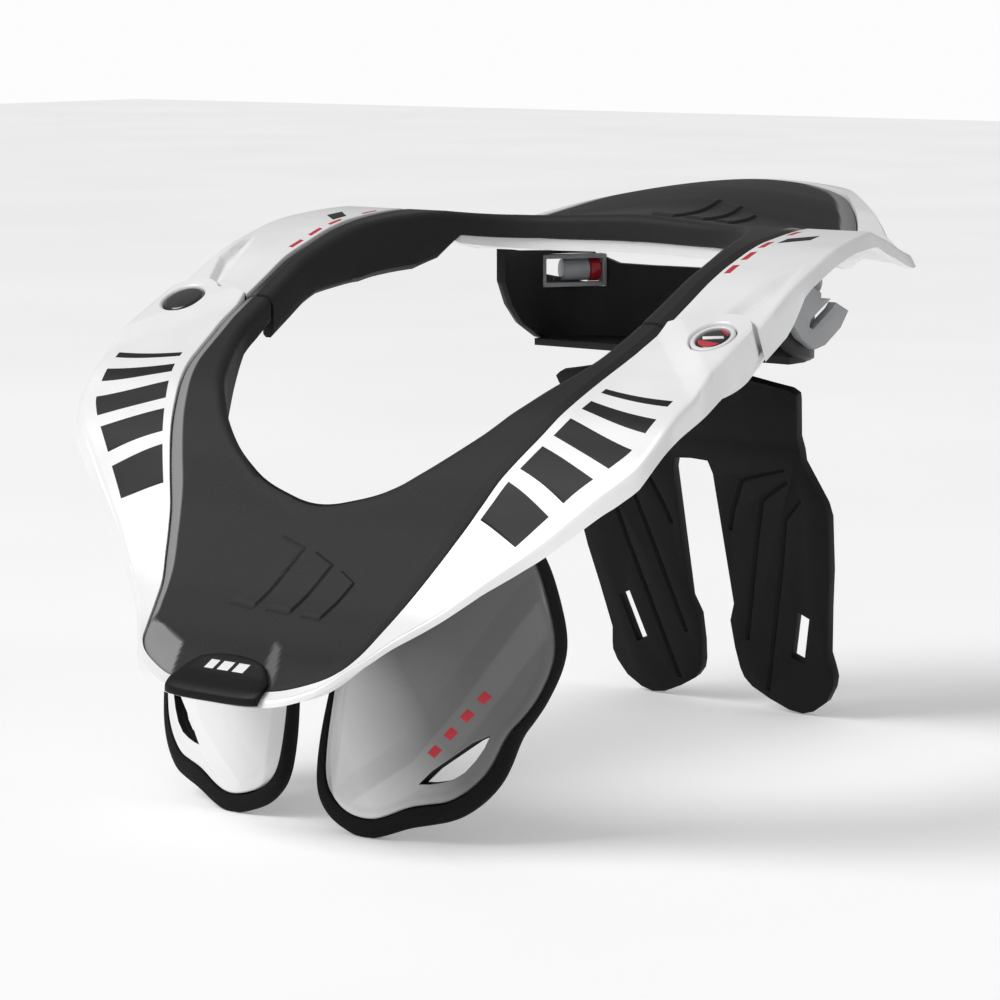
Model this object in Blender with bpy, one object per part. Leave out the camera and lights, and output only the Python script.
"""Motocross neck brace: a collar in two halves round the neck, chest plates, and a strut with two wings.

All lengths are in millimetres until a mesh is made. X runs to the wearer's left, Y to the back, Z up.
The working origin is halfway between the two pins that join the halves; stand_on_floor moves the
finished brace so that the middle of its footprint is the origin.
"""

import bmesh
import bpy
import numpy as np

# Driving sizes of the joint between the halves
PIN_X = 125.0
HOLE_R = 8.6
PIN_R = 8.2
RING_W = 1.7
TONGUE_R = 14.2
TONGUE_RISE = 3.0
FACET_X = 104.0
FACET_W = 8.0
GROOVE = 1.5
SEAM_Y = 8.0
LAP_SLOPE = 0.52
LAP_Z = -11.6
TAB_T = 4.0
GAP = 0.35
REAR_FLOOR = TAB_T + GAP - 1.3
BED_GAP = 0.5
EDGE_GAP = 0.6
CORNER_GAP = 0.55
CORNER_BEARINGS = (14.0, 23.0)

# Wall sizes
PAD_T = 5.3
RIM_T = 3.2
NECK_Y = 30.0

# Where the inner, pad and outer edges lie at the seam between the halves
INNER_X = 86.5
PAD_X = 100.0
OUTER_X = 136.8

# Top of the collar: it is ruled from side to side, so its height follows Y alone. Columns: Y, Z.
TOP_LINE = [
    (-135.0, -137.0), (-122.0, -124.0), (-113.5, -117.0), (-107.0, -111.0), (-100.0, -105.5),
    (-93.0, -99.0), (-86.0, -92.0), (-80.0, -84.0), (-74.0, -75.5), (-68.6, -67.0),
    (-63.4, -57.0), (-58.3, -47.5), (-52.8, -40.0), (-46.6, -33.0), (-40.0, -26.0),
    (-32.6, -20.4), (-23.8, -15.3), (-14.6, -10.4), (-5.9, -5.7), (1.9, -1.7),
    (10.0, 2.8), (20.9, 9.0), (33.4, 16.0), (49.7, 22.4), (59.8, 25.8), (69.5, 28.0),
    (95.0, 30.8), (120.0, 31.5), (150.0, 33.0), (170.0, 36.8), (190.0, 40.0), (220.0, 41.5), (250.0, 37.0),
    (275.0, 34.0),
]

# The rear platform falls away to both sides. Columns: Y, fall at CROWN_X, power of its curve.
CROWN_X = 100.0
CROWN = [
    (100.0, 0.0, 1.0), (120.0, 4.2, 1.0), (140.0, 10.5, 1.0), (160.0, 14.2, 1.1), (190.0, 16.0, 1.7),
    (275.0, 16.5, 1.7),
]

# Plan outlines on that top. Columns: X, Y.
INNER_EDGE = [
    (0.0, -64.0), (12.0, -63.2), (34.0, -59.3), (47.5, -54.0), (59.5, -46.3), (69.7, -36.7),
    (77.3, -24.7), (83.6, -10.9), (86.5, 12.0), (88.2, 31.0), (88.0, 44.0), (80.0, 83.0),
    (70.0, 100.0), (57.0, 113.0), (20.0, 123.0), (0.0, 124.0),
]
PAD_EDGE = [
    (0.0, -117.0), (14.0, -116.8), (24.0, -115.8), (35.0, -112.6), (43.0, -109.2),
    (47.0, -106.0), (50.0, -100.5), (53.0, -93.0), (56.0, -86.0), (60.0, -80.0),
    (64.0, -74.0), (68.0, -68.6), (73.0, -63.4), (77.6, -58.3), (82.0, -52.8), (86.0, -46.6),
    (89.5, -40.0), (92.4, -32.6), (94.5, -23.8), (96.6, -14.6), (98.5, -5.9), (99.5, 2.0),
    (100.0, 10.0), (100.7, 27.0), (100.5, 40.0), (100.3, 60.0), (100.0, 78.0), (98.0, 100.0),
    (95.0, 118.0), (90.0, 140.0), (80.0, 163.0), (58.5, 194.0), (38.0, 214.5), (18.0, 221.0), (0.0, 222.0),
]
OUTER_EDGE = [
    (0.0, -119.8), (25.0, -118.6), (40.0, -113.0), (51.0, -103.0), (61.0, -93.0),
    (72.0, -85.0), (83.5, -77.8), (95.5, -71.0), (108.5, -64.7), (120.5, -58.7),
    (126.0, -55.5), (131.0, -51.0), (134.0, -43.0), (135.5, -34.0), (137.0, -25.0),
    (137.4, -13.0), (137.0, 0.0), (136.5, 14.0), (136.0, 28.0), (136.0, 38.0), (135.0, 51.0),
    (132.6, 69.0), (127.0, 95.0), (121.0, 119.0), (115.0, 144.0), (109.5, 153.0),
    (101.0, 160.0), (91.5, 168.0), (80.0, 180.5), (67.0, 194.5), (53.0, 208.5), (36.0, 223.5),
    (18.0, 229.5), (0.0, 231.0),
]

# The collar's section by bearing round the neck, 0 at the front and 180 at the back.
# Columns: bearing, depth of the pad's inner wall, its width, pad depth at the inner edge, rim height,
# skin, how far the rim stands out, pad depth at its outer edge.
SECTION = [
    (0.0, 24.0, 8.5, 5.3, 2.6, 1.5, 1.2, 2.2),
    (24.0, 28.0, 8.5, 5.3, 2.8, 1.5, 1.2, 2.8),
    (38.0, 31.0, 8.5, 5.3, 4.0, 2.4, 1.4, 4.2),
    (46.0, 29.5, 8.0, 5.3, 6.0, 3.0, 1.8, 5.3),
    (55.0, 20.0, 7.0, 5.3, 7.8, 3.0, 2.2, 5.3),
    (64.0, 12.0, 5.5, 5.3, 8.5, 3.0, 2.6, 5.3),
    (78.0, 10.5, 5.0, 5.3, 9.0, 3.0, 2.0, 5.3),
    (84.0, 10.5, 5.5, 5.3, 9.0, 6.0, 2.0, 5.3),
    (85.9, 16.5, 5.5, 5.3, 9.0, 6.0, 2.6, 5.3),
    (95.0, 17.0, 7.0, 5.3, 4.8, 3.0, 2.6, 5.3),
    (110.0, 22.0, 8.5, 5.3, 4.5, 3.0, 2.6, 5.3),
    (125.0, 22.0, 8.5, 5.3, 6.5, 3.0, 2.6, 5.3),
    (131.0, 18.5, 6.0, 5.8, 6.0, 3.0, 2.6, 5.3),
    (136.5, 9.5, 1.0, 8.0, 4.5, 4.5, 2.6, 5.3),
    (160.0, 9.5, 1.0, 9.8, 5.0, 4.5, 2.6, 5.3),
    (180.0, 10.5, 1.0, 10.8, 8.0, 4.5, 2.6, 5.3),
]

FRONT_BEARINGS = [0, 6, 11, 15, 18.5, 22, 27, 32, 37, 42, 47, 52, 56, 58.5, 61.5, 65, 69]
REAR_BEARINGS = [90, 94, 99, 105, 112, 119, 125, 131, 134, 136.5, 140, 145, 151, 158, 164, 170, 175, 180]
SEAM_STEPS = [0.25, 0.5, 0.75, 0.9, 1.0]

# Places across the white band and across the pad's bed, from the pad's edge outward and inward
BAND_SHARES = [0.985, 0.93, 0.82, 0.68, 0.53, 0.39, 0.2, 0.0]
BED_SHARES = [1.0, 0.66, 0.33, 0.0]

# Clip over the front edge
CLIP_HALF = 21.5
CLIP_TAPER = 5.5
CLIP_LAP = 5.0
CLIP_BOW = 2.0
CLIP_SETBACK = 4.8
CLIP_T = 2.2
CLIP_RISE = 0.6

# Chest plates: outline in X and Z, on a face that leans and curves round the chest
CHEST_BOTTOM_Y = -74.0
CHEST_BEND = 0.0040
CHEST_LEAN = 0.19
CHEST_LEAN_Z = -165.0
CHEST_FLAT = 25.0
FOOT_TOP_Z = -160.0
PLATE_T = 3.0
CHEST_FOAM_T = 2.6
PLATE_OUTLINE = [
    (13.5, -96.0), (12.0, -113.0), (10.8, -130.0), (10.2, -147.0), (11.4, -159.0), (17.0, -165.5),
    (25.0, -168.7), (34.0, -170.0), (41.0, -167.6), (49.0, -163.6), (56.5, -162.0),
    (63.0, -160.8), (69.0, -157.0), (73.5, -152.5), (77.0, -146.9), (80.4, -136.2),
    (84.5, -131.1), (88.9, -123.9), (92.3, -113.1), (92.4, -103.6), (88.5, -90.1),
    (83.7, -78.0), (77.0, -69.0), (68.0, -69.0), (55.0, -80.0), (35.0, -92.0),
]
STRAP_SLOT = [(50.3, -155.5), (57.5, -155.0), (66.5, -152.0), (73.0, -143.5), (76.0, -134.5)]
FOAM_SIDE = 2.0
FOAM_LOW = 6.3
FLOOR_Z = -176.6

# Strut: outline of its wearer's-left half in X and Z, on a face that leans back
STRUT_Y = 166.6
STRUT_Z = -71.8
STRUT_LEAN = 0.259
STRUT_T = 4.5
STRUT_TRIM = 1.3
STRUT_BEND_Z = -62.0
STRUT_TOP_LEAN = 0.22
STRUT_OUTLINE = [
    (0.0, -26.3), (21.0, -26.3), (22.5, -32.6), (37.7, -32.6), (47.4, -34.4), (57.0, -36.0),
    (60.6, -38.5), (60.0, -42.0), (55.4, -57.9),
    (55.4, -67.4), (59.7, -76.5), (63.4, -84.0), (64.5, -90.1), (61.8, -113.0), (58.6, -129.7),
    (55.4, -148.8), (56.6, -155.3), (57.0, -159.1), (55.4, -164.1), (51.0, -170.8),
    (44.0, -175.6), (38.0, -177.3), (31.0, -176.4), (21.5, -172.4), (13.5, -168.0), (9.9, -164.0),
    (8.4, -159.7), (7.2, -150.6), (6.8, -138.6), (9.8, -131.0), (9.4, -119.0), (9.2, -98.0),
    (8.6, -76.0), (7.2, -71.8), (0.0, -71.4),
]
WING_SLOT = [(42.0, -131.4), (47.6, -133.9), (42.0, -154.0), (36.2, -151.6)]

# Lower support: plan of its wall and the height of the wall's lower edge. Columns: X, Y, top Z, low Z.
SUPPORT_WALL = [
    (62.0, 120.0, 15.0, 1.0), (63.0, 126.0, 14.5, -9.0), (63.5, 134.0, 13.5, -17.0),
    (63.5, 144.0, 13.0, -22.5), (62.5, 154.0, 12.5, -25.0), (59.5, 162.0, 12.5, -26.0),
    (53.0, 169.0, 12.0, -26.0), (42.0, 174.0, 7.0, -26.0), (28.0, 177.5, 6.5, -26.0),
    (14.0, 179.0, 6.5, -26.0), (0.0, 179.5, 6.5, -26.0),
]
SUPPORT_T = 4.0
SUPPORT_FLOOR_T = 3.0
SUPPORT_FLOOR_Z = -26.0
SUPPORT_FRONT_Y = 143.0

# Side bracket outside the support's wall: outline in Y and Z, and its slanting slot
BRACKET_X = 66.0
BRACKET_T = 3.5
BRACKET_OUTLINE = [
    (129.0, -2.0), (131.5, -4.5), (135.0, -9.0), (141.0, -15.0), (151.0, -20.0), (158.0, -18.8),
    (169.0, -12.8), (174.5, -6.5), (152.0, 3.0), (140.0, 8.0), (129.0, 8.0),
]
BRACKET_SLOT = [(149.0, -12.0), (163.0, -4.6), (166.0, -1.8), (161.5, -1.0), (147.5, -8.0), (146.5, -11.0)]

# Window through the wall, its frame and the adjusting pin in it
WINDOW_MID = (56.5, 161.0)
WINDOW_ALONG = (0.545, -0.838)
WINDOW_HALF = 14.0
WINDOW_LOW = -2.4
WINDOW_HIGH = 10.8
FRAME_T = 1.6
FRAME_OUT = 3.2
ADJUST_R = 4.6
BAND_L = 4.5
PIN_BACK = 4.0

# Hidden brackets between the chest plates and the collar: X range and sections in Y and Z
CHEST_BRACKET_X = (28.0, 35.0, 42.0)
HOOK_FRONT_Y = -77.0
HOOK_BACK_Y = -71.8
HOOK_HIGH = -98.0
HOOK_LOW = -106.0
BRACKET_GAP = 0.5

WHITE = (0.86, 0.87, 0.88)
GREY = (0.06, 0.06, 0.065)
BLACK = (0.012, 0.012, 0.013)
SILVER = (0.6, 0.6, 0.62)
RED = (0.6, 0.02, 0.03)


def clear_scene():
    for obj in list(bpy.data.objects):
        bpy.data.objects.remove(obj, do_unlink=True)


def slopes(x, y, flat_ends):
    """Slopes of a smooth curve that never overshoots its table."""
    step = np.diff(x)
    rise = np.diff(y) / step
    out = np.zeros(len(x))
    for i in range(1, len(x) - 1):
        if rise[i - 1] * rise[i] > 0:
            a = 2 * step[i] + step[i - 1]
            b = step[i] + 2 * step[i - 1]
            out[i] = (a + b) / (a / rise[i - 1] + b / rise[i])
    if not flat_ends:
        out[0] = rise[0]
        out[-1] = rise[-1]
    return out


def smooth(x, y, at, flat_ends=False):
    """Value of the smooth curve through the table at the places asked for."""
    x = np.asarray(x, float)
    y = np.asarray(y, float)
    at = np.clip(np.asarray(at, float), x[0], x[-1])
    m = slopes(x, y, flat_ends)
    i = np.clip(np.searchsorted(x, at, side="right") - 1, 0, len(x) - 2)
    h = x[i + 1] - x[i]
    t = (at - x[i]) / h
    return (
        (2 * t**3 - 3 * t**2 + 1) * y[i]
        + (t**3 - 2 * t**2 + t) * h * m[i]
        + (3 * t**2 - 2 * t**3) * y[i + 1]
        + (t**3 - t**2) * h * m[i + 1]
    )


def column(table, index):
    return [row[index] for row in table]


def top_z(x, y):
    """Height of the collar's top."""
    line = smooth(column(TOP_LINE, 0), column(TOP_LINE, 1), y)
    fall = np.interp(y, column(CROWN, 0), column(CROWN, 1))
    power = np.interp(y, column(CROWN, 0), column(CROWN, 2))
    return line - fall * ((np.asarray(x, float) ** 2 + 100.0) ** 0.5 / CROWN_X) ** power


def boss(x, y):
    """The tongue stands higher round the pin: 3 mm behind a slanting facet."""
    side = 0.662 * (np.abs(x) - FACET_X) + 0.75 * (y + 1.0)
    t = np.clip(side / FACET_W, 0.0, 1.0)
    return TONGUE_RISE * t * t * (3.0 - 2.0 * t)


def sunk(x, y, depth, lift=0.0):
    """The point straight below this place of the top where a layer of this thickness ends."""
    z = float(top_z(x, y))
    gx = float(top_z(x + 0.5, y) - top_z(x - 0.5, y))
    gy = float(top_z(x, y + 0.5) - top_z(x, y - 0.5))
    return np.array([x, y, z + lift - depth * np.sqrt(1.0 + gx * gx + gy * gy)])


def polar(table):
    """Bearing and radius about the neck centre of an outline's points."""
    pts = np.array(table, float)
    rel_x = pts[:, 0]
    rel_y = NECK_Y - pts[:, 1]
    return np.degrees(np.arctan2(rel_x, rel_y)), np.hypot(rel_x, rel_y)


def radius(table, bearing):
    angles, radii = polar(table)
    return float(smooth(angles, radii, abs(bearing), flat_ends=True))


def radius_front(x):
    """How far the outer edge lies in front of the working origin at this X, near the middle."""
    pts = np.array(OUTER_EDGE[:4])
    return -float(np.interp(abs(x), pts[:, 0], pts[:, 1]))


def ray_point(r, bearing):
    a = np.radians(bearing)
    return np.array([r * np.sin(a), NECK_Y - r * np.cos(a)])


def seam_point(x, side, front, low):
    """Where the halves meet: straight over the pad, round the pin's slanting axis over the tongue.

    low asks for the place on the flat lap, otherwise it is on the top.
    """
    r = TONGUE_R if front else TONGUE_R + GROOVE
    straight = SEAM_Y if front else SEAM_Y + GROOVE
    lean = np.hypot(1.0, LAP_SLOPE)
    arc = lean * np.sqrt(max(0.0, r * r - (abs(x) - PIN_X) ** 2))
    y = arc
    for _ in range(12):
        if low:
            z = lap_z(y, 0.0 if front else REAR_FLOOR)
        else:
            z = float(top_z(x, y)) + (float(boss(x, y)) if front else 0.0)
        y = arc - LAP_SLOPE * z
    if abs(x) < PIN_X:
        y = max(y, straight)
    return np.array([side * x, y])


class Station:
    """One section of the collar: places across it are given from the inner, pad and outer edges."""

    def __init__(self, bearing, blend=0.0, front=True):
        self.bearing = bearing
        self.blend = blend
        self.front = front
        self.side = 1.0 if bearing >= 0 else -1.0
        b = abs(bearing)
        self.inner = radius(INNER_EDGE, b)
        self.pad = radius(PAD_EDGE, b)
        self.outer = radius(OUTER_EDGE, b)
        seam_b = 82.0 + (4.0 if not front else 0.0)
        b_eff = b + blend * (seam_b - b)
        values = [np.interp(b_eff, column(SECTION, 0), column(SECTION, i)) for i in range(1, 8)]
        self.depth, self.wrap, self.pad_deep, self.rim, self.skin, self.rim_out, self.pad_edge = values
        self.b_eff = b_eff

    def xy(self, base, offset, low=False):
        """The place this far outward from the inner, pad or outer edge."""
        r = {"inner": self.inner, "pad": self.pad, "outer": self.outer}[base] + offset
        plain = ray_point(r, self.bearing)
        if self.blend <= 0:
            return plain
        x = {"inner": INNER_X, "pad": PAD_X, "outer": OUTER_X}[base] + offset
        return (1 - self.blend) * plain + self.blend * seam_point(x, self.side, self.front, low)

    def between(self, t, inner_off, outer_off):
        """Places across the pad's width."""
        return (1 - t) * self.xy("inner", inner_off) + t * self.xy("pad", outer_off)

    def band(self, t, inner_off=0.0, outer_off=0.0, low=False):
        """Places across the white band; near the pin they follow the tongue's arc."""
        if self.blend <= 0:
            return (1 - t) * self.xy("pad", inner_off) + t * self.xy("outer", outer_off)
        x = (1 - t) * (PAD_X + inner_off) + t * (OUTER_X + outer_off)
        plain = (1 - t) * ray_point(self.pad + inner_off, self.bearing) + t * ray_point(
            self.outer + outer_off, self.bearing
        )
        return (1 - self.blend) * plain + self.blend * seam_point(x, self.side, self.front, low)

    def recess(self, t):
        """Depth of the pad's bed, from the inner edge (0) to the pad's edge (1)."""
        return float(np.interp(t, (0.0, 0.66, 1.0), (self.pad_deep, PAD_T, self.pad_edge)))


def lap_z(y, below=0.0):
    return LAP_Z + LAP_SLOPE * y - below


def shell_section(st, front):
    """Closed outline of the white shell at one station."""
    pts = []
    lift = boss if front else (lambda x, y: 0.0 * x)
    solid = np.clip((st.b_eff - 58.0) / 8.0, 0, 1) if front else np.clip((93.0 - st.b_eff) / 4.0, 0, 1)
    low_plane = 0.0 if front else REAR_FLOOR

    def floor_of(p):
        """Underside: the skin's own, or the flat lap close to the pins."""
        return p[2] * (1 - solid) + lap_z(p[1], low_plane) * solid

    x, y = st.xy("outer", st.rim_out, True)
    z = float(top_z(*st.xy("outer", 0.0))) - st.rim
    pts.append([x, y, floor_of(np.array([x, y, z]))])
    x, y = st.xy("outer", min(0.9, 0.5 * st.rim_out))
    ox, oy = st.xy("outer", 0.0)
    pts.append([x, y, float(top_z(ox, oy)) - 1.2 + lift(ox, oy)])
    for t in BAND_SHARES:
        x, y = st.band(t)
        pts.append(sunk(x, y, 0.0, lift(x, y)))
    for t in BED_SHARES:
        x, y = st.between(t, st.wrap + 0.5, 0.0)
        pts.append(sunk(x, y, st.recess(t)))
    for t in (0.0, 0.5, 1.0):
        x, y = st.between(t, st.wrap + 0.5, 0.0)
        p = sunk(x, y, st.recess(t) + st.skin)
        pts.append([p[0], p[1], floor_of(p)])
    for t in (0.4, 0.75):
        x, y = st.band(t, 0.0, -RIM_T, True)
        p = sunk(x, y, st.skin)
        pts.append([p[0], p[1], floor_of(p)])
    x, y = st.xy("outer", -RIM_T, True)
    p = sunk(x, y, st.skin)
    pts.append([x, y, floor_of(p)])
    x, y = st.xy("outer", st.rim_out - RIM_T, True)
    z = float(top_z(*st.xy("outer", 0.0))) - st.rim
    pts.append([x, y, floor_of(np.array([x, y, z]))])
    return np.array([[float(c) for c in p] for p in pts])


def pad_section(st):
    """Closed outline of the pad at one station: it lies in its bed and wraps down the inner edge."""
    w = st.wrap
    sharp = CORNER_BEARINGS[0] < st.b_eff < CORNER_BEARINGS[1]
    bed_gap = BED_GAP + (CORNER_GAP if sharp else 0.0)
    pts = []
    x, y = st.xy("pad", -EDGE_GAP)
    pts.append(sunk(x, y, 0.9))
    x, y = st.xy("pad", -1.4)
    pts.append(sunk(x, y, 0.0))
    for t in (0.8, 0.6, 0.4, 0.2):
        x, y = st.between(t, 3.0, -1.4)
        pts.append(sunk(x, y, 0.0))
    x, y = st.xy("inner", 3.0)
    pts.append(sunk(x, y, 0.1))
    x, y = st.xy("inner", 0.9)
    edge = sunk(x, y, 0.0)
    pts.append([x, y, edge[2] - 1.1])
    x, y = st.xy("inner", 0.0)
    zt = float(top_z(x, y))
    pts.append([x, y, zt - 4.0])
    pts.append([x, y, zt - st.depth + min(2.0, 0.3 * w)])
    x, y = st.xy("inner", 0.3 * w)
    pts.append([x, y, zt - st.depth])
    x, y = st.xy("inner", w)
    bed = sunk(x, y, st.recess(0.0) - GAP)
    low = min(zt - st.depth, bed[2] - (6.0 if w > 4.0 else 0.05))
    x2, y2 = st.xy("inner", 0.75 * w)
    pts.append([x2, y2, low])
    pts.append([x, y, low + (1.2 if w > 4.0 else 0.02)])
    pts.append(sunk(x, y, st.recess(0.0) - bed_gap))
    for t in BED_SHARES[-2:0:-1]:
        x, y = st.between(t, w + 0.5, 0.0)
        pts.append(sunk(x, y, st.recess(t) - bed_gap))
    x, y = st.xy("pad", -2.0 * EDGE_GAP)
    pts.append(sunk(x, y, st.recess(1.0) - bed_gap - 0.4))
    return np.array([[float(c) for c in p] for p in pts])


def material(name, colour, rough, metal=0.0):
    mat = bpy.data.materials.new(name)
    mat.use_nodes = True
    shader = mat.node_tree.nodes["Principled BSDF"]
    shader.inputs["Base Color"].default_value = (*colour, 1.0)
    shader.inputs["Roughness"].default_value = rough
    shader.inputs["Metallic"].default_value = metal
    mat.diffuse_color = (*colour, 1.0)
    return mat


def add_mesh(name, points, faces, where, mat=None):
    mesh = bpy.data.meshes.new(name)
    mesh.from_pydata([tuple(float(c) * 0.001 for c in p) for p in points], [], faces)
    mesh.update()
    obj = bpy.data.objects.new(name, mesh)
    where.objects.link(obj)
    if mat:
        mesh.materials.append(mat)
    return obj


def outward(points, faces):
    """Faces turned so that the body's volume is positive."""
    pts = np.array(points, float)
    total = 0.0
    for face in faces:
        a = pts[face[0]]
        for i in range(1, len(face) - 1):
            total += np.dot(a, np.cross(pts[face[i]], pts[face[i + 1]]))
    return faces if total > 0 else [tuple(reversed(face)) for face in faces]


def zip_cap(ring, top, low):
    """Faces that close an end: a strip between its upper and lower rows, both from outside to inside."""
    faces = []
    i, j = 0, 0
    while i < len(top) - 1 or j < len(low) - 1:
        go_top = j == len(low) - 1
        if not go_top and i < len(top) - 1:
            go_top = abs(ring[top[i + 1]][0]) >= abs(ring[low[j + 1]][0])
        if go_top:
            faces.append((top[i], top[i + 1], low[j]))
            i += 1
        else:
            faces.append((top[i], low[j + 1], low[j]))
            j += 1
    return faces


def loft(sections, rows=None):
    """Points and faces of the body through a row of closed sections.

    rows names the upper and lower points of a section whose ends aren't flat.
    """
    count = len(sections[0])
    points = np.concatenate(sections)
    faces = []
    for s in range(len(sections) - 1):
        for i in range(count):
            j = (i + 1) % count
            a, b = s * count + i, s * count + j
            c, d = b + count, a + count
            if np.sum((points[a] - points[c]) ** 2) <= np.sum((points[b] - points[d]) ** 2):
                faces += [(a, b, c), (a, c, d)]
            else:
                faces += [(a, b, d), (b, c, d)]
    last = (len(sections) - 1) * count
    if rows is None:
        faces.append(tuple(reversed(range(count))))
        faces.append(tuple(range(last, last + count)))
    else:
        start = zip_cap(sections[0], *rows)
        end = zip_cap(sections[-1], *rows)
        faces += [tuple(reversed(f)) for f in start]
        faces += [tuple(last + i for i in f) for f in end]
    return points, outward(points, faces)


def prism(outline, low, high):
    """Body between two copies of an outline, each placed by its own function."""
    n = len(outline)
    points = [low(p) for p in outline] + [high(p) for p in outline]
    faces = [tuple(range(n)), tuple(range(2 * n - 1, n - 1, -1))]
    faces += [(i, i + n, (i + 1) % n + n, (i + 1) % n) for i in range(n)]
    return points, outward(points, faces)


def ring_of_quads(inner, outer, low, high):
    """Body between two outlines of equal count, for a plate with one window."""
    n = len(inner)
    points = [low(p) for p in outer] + [low(p) for p in inner]
    points += [high(p) for p in outer] + [high(p) for p in inner]
    faces = []
    for i in range(n):
        j = (i + 1) % n
        faces.append((i, j, n + j, n + i))
        faces.append((2 * n + i, 3 * n + i, 3 * n + j, 2 * n + j))
        faces.append((i, 2 * n + i, 2 * n + j, j))
        faces.append((n + i, n + j, 3 * n + j, 3 * n + i))
    return points, outward(points, faces)


def cylinder(centre, axis, r, length, sides=28, r_end=None, chamfer=0.0):
    """Body of a short round pin that starts at centre and runs along axis."""
    axis = np.array(axis, float) / np.linalg.norm(axis)
    side = np.cross(axis, [1.0, 0.0, 0.0] if abs(axis[0]) < 0.8 else [0.0, 0.0, 1.0])
    side /= np.linalg.norm(side)
    up = np.cross(axis, side)
    r_end = r if r_end is None else r_end
    rows = [(0.0, r), (length - chamfer, r_end)]
    if chamfer:
        rows.append((length, r_end - chamfer))
    sections = []
    for along, rr in rows:
        a = np.arange(sides) * 2 * np.pi / sides
        ring = np.array(centre) + along * axis + rr * (np.outer(np.cos(a), side) + np.outer(np.sin(a), up))
        sections.append(ring)
    return loft(sections)


def grown(outline, by, below=None):
    """Outline moved outward by this much, corner by corner, and by another length where it faces down."""
    pts = np.array(outline, float)
    after = np.roll(pts, -1, axis=0)
    before = np.roll(pts, 1, axis=0)
    area = np.sum(pts[:, 0] * after[:, 1] - after[:, 0] * pts[:, 1])
    sign = 1.0 if area > 0 else -1.0
    out = []
    for p, a, b in zip(pts, before, after):
        d1 = (p - a) / np.linalg.norm(p - a)
        d2 = (b - p) / np.linalg.norm(b - p)
        n1 = sign * np.array([d1[1], -d1[0]])
        n2 = sign * np.array([d2[1], -d2[0]])
        n = n1 + n2
        n /= np.linalg.norm(n)
        share = max(0.0, -float(n[1])) if below is not None else 0.0
        step = by + share * ((below or by) - by)
        out.append(p + n * step / max(0.6, float(np.dot(n, n1))))
    return [tuple(q) for q in out]


def rounded(outline, steps=2):
    """Outline with each corner cut twice, so that it reads as a curve."""
    pts = np.array(outline, float)
    for _ in range(steps):
        after = np.roll(pts, -1, axis=0)
        pts = np.stack([0.8 * pts + 0.2 * after, 0.2 * pts + 0.8 * after], 1).reshape(-1, 2)
    return [tuple(p) for p in pts]


def chest_y(x, z, off=0.0):
    return (
        CHEST_BOTTOM_Y
        + CHEST_BEND * max(0.0, abs(x) - CHEST_FLAT) ** 2
        + CHEST_LEAN * (z - CHEST_LEAN_Z)
        + off
    )


def strut_y(z):
    return STRUT_Y + STRUT_LEAN * (STRUT_Z - z)


def cut(obj, cutter, name, operation="DIFFERENCE"):
    mod = obj.modifiers.new(name, "BOOLEAN")
    mod.object = cutter
    mod.operation = operation
    mod.solver = "EXACT"


def cutter_mesh(name, body, cutters):
    obj = add_mesh(name, *body, cutters)
    obj.hide_render = True
    obj.display_type = "WIRE"
    return obj


def front_stations():
    half = [Station(b) for b in FRONT_BEARINGS if b > 0]
    half += [Station(69.0, blend=t) for t in SEAM_STEPS]
    other = [Station(-b) for b in FRONT_BEARINGS if b > 0]
    other += [Station(-69.0, blend=t) for t in SEAM_STEPS]
    return list(reversed(other)) + [Station(0.0)] + half


def rear_stations():
    half = [Station(90.0, blend=t, front=False) for t in reversed(SEAM_STEPS)]
    half += [Station(float(b), front=False) for b in REAR_BEARINGS if b < 180]
    other = [Station(-90.0, blend=t, front=False) for t in reversed(SEAM_STEPS)]
    other += [Station(-float(b), front=False) for b in REAR_BEARINGS if b < 180]
    return half + [Station(180.0, front=False)] + list(reversed(other))


def build_collar(parts, cutters, mats):
    front = front_stations()
    rear = rear_stations()
    shell_top = list(range(1, 2 + len(BAND_SHARES) + len(BED_SHARES)))
    count = len(shell_section(front[0], True))
    shell_low = [0] + list(range(count - 1, shell_top[-1], -1))
    rows = (shell_top, shell_low)
    body = loft([shell_section(s, True) for s in front], rows)
    shell = add_mesh("front_shell", *body, parts, mats["front_shell"])
    add_mesh("front_pad", *loft([pad_section(s) for s in front]), parts, mats["front_pad"])
    body = loft([shell_section(s, False) for s in rear], rows)
    back = add_mesh("rear_shell", *body, parts, mats["rear_shell"])
    add_mesh("rear_pad", *loft([pad_section(s) for s in rear]), parts, mats["rear_pad"])
    lap = np.array([0.0, -LAP_SLOPE, 1.0])
    lap /= np.linalg.norm(lap)
    for side, name in ((1.0, "left"), (-1.0, "right")):
        foot = np.array([side * PIN_X, 0.0, 0.0])
        hole = cylinder(foot - 14.0 * lap, lap, HOLE_R, 34.0, sides=32)
        cut(shell, cutter_mesh("hole_" + name, hole, cutters), "hole_" + name)
        tab = tab_outline(side)
        body = prism(
            tab,
            lambda p: (p[0], p[1], lap_z(p[1], GAP + TAB_T)),
            lambda p: (p[0], p[1], lap_z(p[1], GAP)),
        )
        cut(back, cutter_mesh("tab_" + name, body, cutters), "tab_" + name, "UNION")
    return lap


def tab_outline(side):
    """Rounded tab of the rear half that lies under the tongue."""
    a = np.radians(np.linspace(180, 360, 13))
    r = 15.0
    pts = [(PIN_X - 1.5 + r * np.cos(t), 2.0 + r * np.sin(t)) for t in a]
    pts += [(PIN_X + 10.5, 26.0), (PIN_X - 1.5 - r, 26.0)]
    return [(side * x, y) for x, y in pts]


def axis_on_lap(side, lap):
    """Where the pin's axis, which runs through the working origin's height, meets the lap."""
    along = LAP_Z / (lap[2] - LAP_SLOPE * lap[1])
    return np.array([side * PIN_X, 0.0, 0.0]) + along * lap


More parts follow.
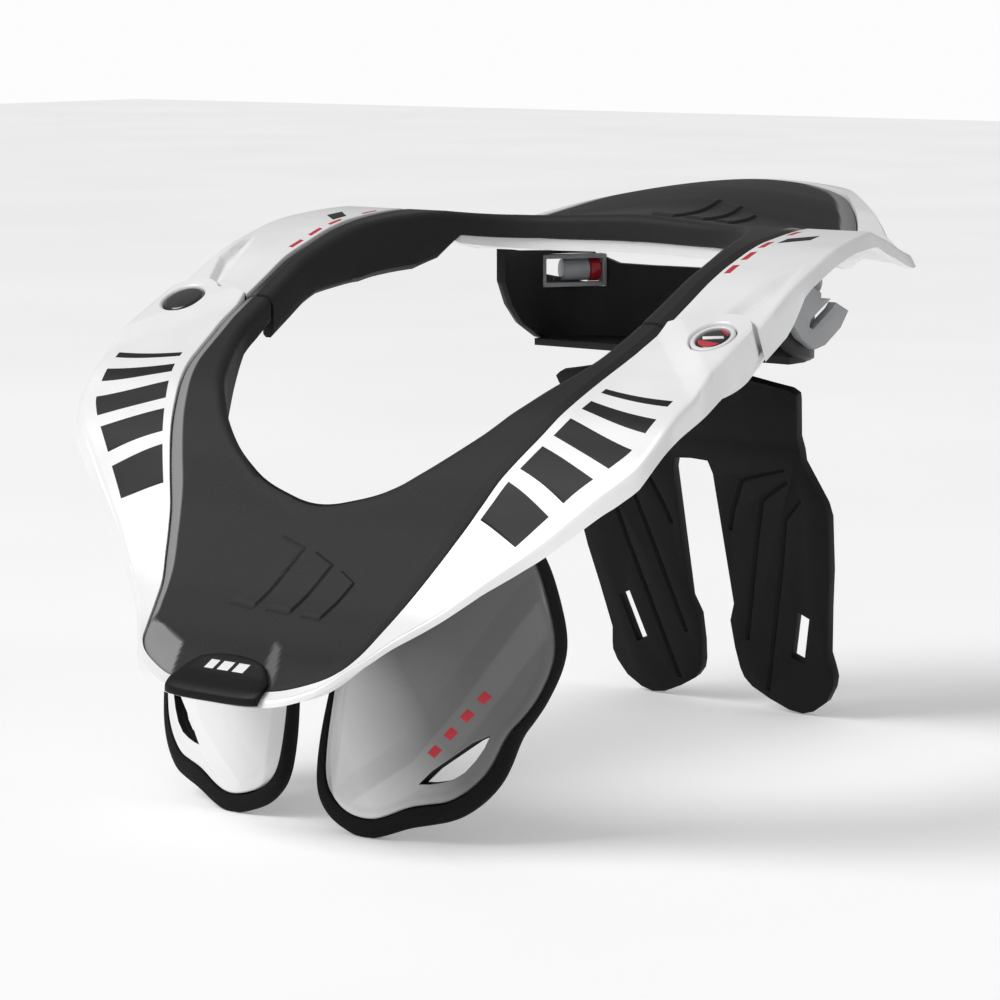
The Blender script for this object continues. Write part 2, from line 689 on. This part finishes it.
def build_pins(parts, mats, lap):
    """Hinge pin on the wearer's right; release button with its ring on the left."""
    right = axis_on_lap(-1.0, lap)
    add_mesh("hinge_pin", *cylinder(right, lap, PIN_R, 10.4, sides=24, chamfer=0.8), parts, mats["hinge_pin"])
    left = axis_on_lap(1.0, lap)
    button_r = PIN_R - RING_W - 0.3
    body = cylinder(left + 2.2 * lap, lap, button_r, 7.6, sides=24, chamfer=0.8)
    add_mesh("latch_button", *body, parts, mats["latch_button"])
    a = np.arange(24) * 2 * np.pi / 24
    side = np.array([1.0, 0.0, 0.0])
    up = np.cross(lap, side)
    circle = [(float(np.cos(t)), float(np.sin(t))) for t in a]
    inner = [(c[0] * (PIN_R - RING_W), c[1] * (PIN_R - RING_W)) for c in circle]
    outer = [(c[0] * PIN_R, c[1] * PIN_R) for c in circle]
    body = ring_of_quads(
        inner,
        outer,
        lambda p: left + 2.0 * lap + p[0] * side + p[1] * up,
        lambda p: left + 10.2 * lap + p[0] * side + p[1] * up,
    )
    add_mesh("latch_ring", *body, parts, mats["latch_ring"])


def build_clip(parts, mats):
    """Moulded tab over the front edge, bent over the pad and down in front of the rim."""
    rim_out = SECTION[0][6]
    rim = SECTION[0][4]
    front = -OUTER_EDGE[0][1] - CLIP_SETBACK
    sections = []
    for share in (-1.0, -0.93, -0.5, 0.0, 0.5, 0.93, 1.0):
        x = share * CLIP_HALF
        slim = 0.75 if abs(share) > 0.95 else 0.0
        bow = CLIP_BOW * (1.0 - share * share)
        back = CLIP_LAP - front + bow
        lay = [(1 - t) * back - t * front for t in (0.0, 0.5, 1.0)]
        slim_x = [x - share * CLIP_TAPER * (1 - t) for t in (0.0, 0.5, 1.0)]
        under = [sunk(sx, y, -GAP) for sx, y in zip(slim_x, lay)]
        tops = [(slim_x[2], lay[2] - 0.5), (slim_x[1], lay[1]), (slim_x[0], lay[0] - 0.8)]
        crest = [sunk(sx, y, -CLIP_T + slim) for sx, y in tops]
        edge = -radius_front(x)
        z = float(top_z(x, edge))
        low = z - rim + CLIP_RISE
        pts = list(under)
        pts.append([x, edge - 0.2, z + 0.6])
        pts.append([x, edge - rim_out - 0.45, z - 1.2])
        pts.append([x, edge - rim_out - 0.45, low])
        pts.append([x, edge - rim_out - CLIP_T + slim, low])
        pts.append([x, edge - rim_out - CLIP_T + 0.2 + slim, z + 0.8])
        pts.append([x, edge - 1.2 + slim, z + CLIP_T + 0.6])
        pts += crest
        sections.append(np.array([[float(c) for c in p] for p in pts]))
    add_mesh("front_clip", *loft(sections), parts, mats["front_clip"])


def build_chest(parts, cutters, mats):
    plate = rounded(PLATE_OUTLINE, 1)
    foam = grown(PLATE_OUTLINE, FOAM_SIDE, FOAM_LOW)
    lowest = min(p[1] for p in foam)
    foam = rounded([(p[0], p[1] + (FLOOR_Z - lowest) * (1.0 if p[1] < FOOT_TOP_Z else 0.0)) for p in foam], 1)
    drop = FLOOR_Z - min(p[1] for p in foam)
    foam = [(x, z + (drop if z < FOOT_TOP_Z else 0.0)) for x, z in foam]
    slot = STRAP_SLOT
    for side, name in ((1.0, "left"), (-1.0, "right")):
        body = curved_plate(plate, side, -PLATE_T, 0.0)
        obj = add_mesh("chest_plate_" + name, *body, parts, mats["chest_plate_" + name])
        back = curved_plate(foam, side, -PLATE_T, GAP + CHEST_FOAM_T)
        pad = add_mesh("chest_foam_" + name, *back, parts, mats["chest_foam_" + name])
        hole = prism(
            slot,
            lambda p: (side * p[0], chest_y(p[0], p[1], -14.0), p[1]),
            lambda p: (side * p[0], chest_y(p[0], p[1], 14.0), p[1]),
        )
        seat = curved_plate(grown(plate, GAP), side, -PLATE_T - 8.0, GAP)
        cut(pad, cutter_mesh("plate_seat_" + name, seat, cutters), "plate_seat")
        slot_cutter = cutter_mesh("strap_slot_" + name, hole, cutters)
        cut(obj, slot_cutter, "strap_slot")
        cut(pad, slot_cutter, "strap_slot")


def curved_plate(outline, side, front, back):
    """Plate between two curved faces: its outline is filled with a grid of strips in X."""
    pts = np.array(outline, float)
    xs = np.linspace(pts[:, 0].min() + 0.4, pts[:, 0].max() - 0.4, 13)
    sections = []
    for x in xs:
        zs = crossings(pts, x)
        low, high = zs[0], zs[-1]
        column_z = np.linspace(low, high, 5)
        ring = [[side * x, chest_y(x, z, front), z] for z in column_z]
        ring += [[side * x, chest_y(x, z, back), z] for z in column_z[::-1]]
        sections.append(np.array(ring))
    return loft(sections)


def crossings(pts, x):
    """Heights at which a vertical line crosses the outline."""
    out = []
    after = np.roll(pts, -1, axis=0)
    for a, b in zip(pts, after):
        if (a[0] - x) * (b[0] - x) < 0:
            out.append(a[1] + (b[1] - a[1]) * (x - a[0]) / (b[0] - a[0]))
    return sorted(out)


def bend_forward(mesh, bend_z, lean):
    """Splits the faces at this height and leans what is above it to the front."""
    shape = bmesh.new()
    shape.from_mesh(mesh)
    height = bend_z * 0.001
    everything = list(shape.verts) + list(shape.edges) + list(shape.faces)
    bmesh.ops.bisect_plane(shape, geom=everything, dist=1e-7, plane_co=(0, 0, height), plane_no=(0, 0, 1))
    for vert in shape.verts:
        vert.co.y -= lean * max(0.0, vert.co.z - height)
    shape.to_mesh(mesh)
    shape.free()


def build_strut(parts, cutters, mats):
    half = STRUT_OUTLINE
    outline = grown(half + [(-x, z) for x, z in reversed(half) if x > 0], -STRUT_TRIM)
    back = STRUT_T / np.sqrt(1 + STRUT_LEAN**2)
    body = prism(
        outline,
        lambda p: (p[0], strut_y(p[1]), p[1]),
        lambda p: (p[0], strut_y(p[1]) + back, p[1] + back * STRUT_LEAN),
    )
    strut = add_mesh("back_strut", *body, parts, mats["back_strut"])
    bend_forward(strut.data, STRUT_BEND_Z, STRUT_TOP_LEAN)
    for side, name in ((1.0, "left"), (-1.0, "right")):
        hole = prism(
            WING_SLOT,
            lambda p: (side * p[0], strut_y(p[1]) - 6.0, p[1] - 6.0 * STRUT_LEAN),
            lambda p: (side * p[0], strut_y(p[1]) + 16.0, p[1] + 16.0 * STRUT_LEAN),
        )
        cut(strut, cutter_mesh("wing_slot_" + name, hole, cutters), "wing_slot_" + name)


def build_chest_brackets(parts, mats):
    """Plain brackets behind the front rim, from the collar's underside to the plates."""
    for side, name in ((1.0, "left"), (-1.0, "right")):
        sections = []
        for x in CHEST_BRACKET_X:
            def back(z):
                return chest_y(x, z, -PLATE_T - GAP)

            def under(y):
                return float(sunk(x, y, PAD_T + SECTION[1][5])[2]) - BRACKET_GAP

            ring = [
                (HOOK_BACK_Y, under(HOOK_BACK_Y)), (HOOK_BACK_Y, HOOK_HIGH), (back(HOOK_HIGH), HOOK_HIGH),
                (back(HOOK_LOW), HOOK_LOW), (HOOK_FRONT_Y, HOOK_LOW), (HOOK_FRONT_Y, under(HOOK_FRONT_Y)),
            ]
            sections.append(np.array([[side * x, y, z] for y, z in ring]))
        add_mesh("chest_bracket_" + name, *loft(sections), parts, mats["chest_bracket_" + name])


def support_ring(x, y, high, low, nx, ny):
    """Section of the support's wall, square to its plan."""
    half = SUPPORT_T / 2
    out = (x + nx * half, y + ny * half)
    ins = (x - nx * half, y - ny * half)
    return np.array([(*out, high), (*out, low + 1.2), (x, y, low), (*ins, low + 0.8), (*ins, high)])


def build_support(parts, cutters, mats):
    """Black bowl under the rear platform, with a window each side and a floor for the strut."""
    rows = np.array(SUPPORT_WALL, float)
    path = np.concatenate([rows, rows[-2::-1] * np.array([-1.0, 1.0, 1.0, 1.0])])
    ahead = np.gradient(path[:, :2], axis=0)
    ahead /= np.linalg.norm(ahead, axis=1)[:, None]
    sections = []
    for (x, y, high, low), (dx, dy) in zip(path, ahead):
        sections.append(support_ring(x, y, high, low, dy, -dx))
    body = add_mesh("rear_support", *loft(sections), parts, mats["rear_support"])
    floor = [(r[0], r[1]) for r in SUPPORT_WALL if r[1] > SUPPORT_FRONT_Y + 5.0]
    front = [(SUPPORT_WALL[3][0] - 1.0, SUPPORT_FRONT_Y)]
    half = front + floor
    floor = half + [(-x, y) for x, y in reversed(half) if x > 0]
    slab = prism(
        floor,
        lambda p: (p[0], p[1], SUPPORT_FLOOR_Z + 0.2),
        lambda p: (p[0], p[1], SUPPORT_FLOOR_Z + SUPPORT_FLOOR_T),
    )
    cut(body, cutter_mesh("support_floor", slab, cutters), "floor", "UNION")
    for side, name in ((1.0, "left"), (-1.0, "right")):
        h = np.array([-side * WINDOW_ALONG[0], -WINDOW_ALONG[1], 0.0])
        a = np.array([side * -WINDOW_ALONG[1], WINDOW_ALONG[0], 0.0])
        mid = np.array([side * WINDOW_MID[0], WINDOW_MID[1], 0.0])

        def at(u, s, z):
            return mid + u * h + s * a + np.array([0.0, 0.0, z])

        def box(half, low, high, s0, s1):
            outline = [(-half, low), (half, low), (half, high), (-half, high)]
            return prism(outline, lambda p: at(p[0], s0, p[1]), lambda p: at(p[0], s1, p[1]))

        hole = box(WINDOW_HALF + GAP, WINDOW_LOW - GAP, WINDOW_HIGH + GAP, -8.0, 16.0)
        cut(body, cutter_mesh("window_" + name, hole, cutters), "window_" + name)
        plate = prism(
            BRACKET_OUTLINE,
            lambda p: (side * BRACKET_X, p[0], p[1]),
            lambda p: (side * (BRACKET_X + BRACKET_T), p[0], p[1]),
        )
        bracket = add_mesh("rear_bracket_" + name, *plate, parts, mats["rear_bracket_" + name])
        slot = prism(
            BRACKET_SLOT,
            lambda p: (side * (BRACKET_X - 3.0), p[0], p[1]),
            lambda p: (side * (BRACKET_X + BRACKET_T + 3.0), p[0], p[1]),
        )
        cut(bracket, cutter_mesh("slot_" + name, slot, cutters), "slot")
        frame = box(WINDOW_HALF, WINDOW_LOW, WINDOW_HIGH, -2.6, FRAME_OUT)
        cut(bracket, cutter_mesh("frame_" + name, frame, cutters), "frame", "UNION")
        inner = box(WINDOW_HALF - FRAME_T, WINDOW_LOW + FRAME_T, WINDOW_HIGH - FRAME_T, -6.0, 16.0)
        cut(bracket, cutter_mesh("frame_hole_" + name, inner, cutters), "frame_hole")
        room = WINDOW_HALF - FRAME_T - GAP
        mid_z = (WINDOW_LOW + WINDOW_HIGH) / 2
        pin = cylinder(at(-PIN_BACK, 3.0, mid_z), h, ADJUST_R, room + PIN_BACK - BAND_L - 0.2, sides=20)
        add_mesh("adjust_pin_" + name, *pin, parts, mats["adjust_pin_" + name])
        band = cylinder(at(room - BAND_L, 3.0, mid_z), h, ADJUST_R + 0.3, BAND_L, sides=20)
        add_mesh("adjust_band_" + name, *band, parts, mats["adjust_band_" + name])


def stand_on_floor(parts):
    """Moves every mesh so that the middle of the footprint is the origin, and prints the move."""
    graph = bpy.context.evaluated_depsgraph_get()
    low = np.full(3, np.inf)
    high = np.full(3, -np.inf)
    for obj in parts.objects:
        mesh = obj.evaluated_get(graph).to_mesh()
        co = np.empty(len(mesh.vertices) * 3)
        mesh.vertices.foreach_get("co", co)
        co = co.reshape(-1, 3)
        low = np.minimum(low, co.min(0))
        high = np.maximum(high, co.max(0))
        obj.evaluated_get(graph).to_mesh_clear()
    move = -np.array([(low[0] + high[0]) / 2, (low[1] + high[1]) / 2, low[2]])
    for obj in bpy.data.objects:
        if obj.type == "MESH":
            for v in obj.data.vertices:
                v.co.x += move[0]
                v.co.y += move[1]
                v.co.z += move[2]
    print("moved by (m):", [round(float(c), 6) for c in move])
    print("size (m):", [round(float(c), 4) for c in high - low])


def main():
    clear_scene()
    bpy.context.scene.unit_settings.system = "METRIC"
    parts = bpy.data.collections.new("neck_brace")
    cutters = bpy.data.collections.new("cutters")
    cutters.hide_render = True
    bpy.context.scene.collection.children.link(parts)
    bpy.context.scene.collection.children.link(cutters)
    looks = {
        "front_shell": (WHITE, 0.25), "rear_shell": (WHITE, 0.25), "front_pad": (GREY, 0.6),
        "rear_pad": (GREY, 0.6), "front_clip": (BLACK, 0.35), "latch_button": (BLACK, 0.4),
        "hinge_pin": (BLACK, 0.4), "chest_plate_left": (SILVER, 0.35),
        "chest_plate_right": (SILVER, 0.35), "chest_foam_left": (BLACK, 0.8),
        "chest_foam_right": (BLACK, 0.8), "back_strut": (BLACK, 0.6), "latch_ring": (RED, 0.35),
        "chest_bracket_left": (BLACK, 0.5), "chest_bracket_right": (BLACK, 0.5),
        "rear_support": (BLACK, 0.5), "rear_bracket_left": (SILVER, 0.4),
        "rear_bracket_right": (SILVER, 0.4), "adjust_pin_left": (SILVER, 0.35),
        "adjust_pin_right": (SILVER, 0.35), "adjust_band_left": (RED, 0.4),
        "adjust_band_right": (RED, 0.4),
    }
    mats = {name: material(name, colour, rough) for name, (colour, rough) in looks.items()}
    lap = build_collar(parts, cutters, mats)
    build_pins(parts, mats, lap)
    build_clip(parts, mats)
    build_chest(parts, cutters, mats)
    build_chest_brackets(parts, mats)
    build_support(parts, cutters, mats)
    build_strut(parts, cutters, mats)
    stand_on_floor(parts)


main()
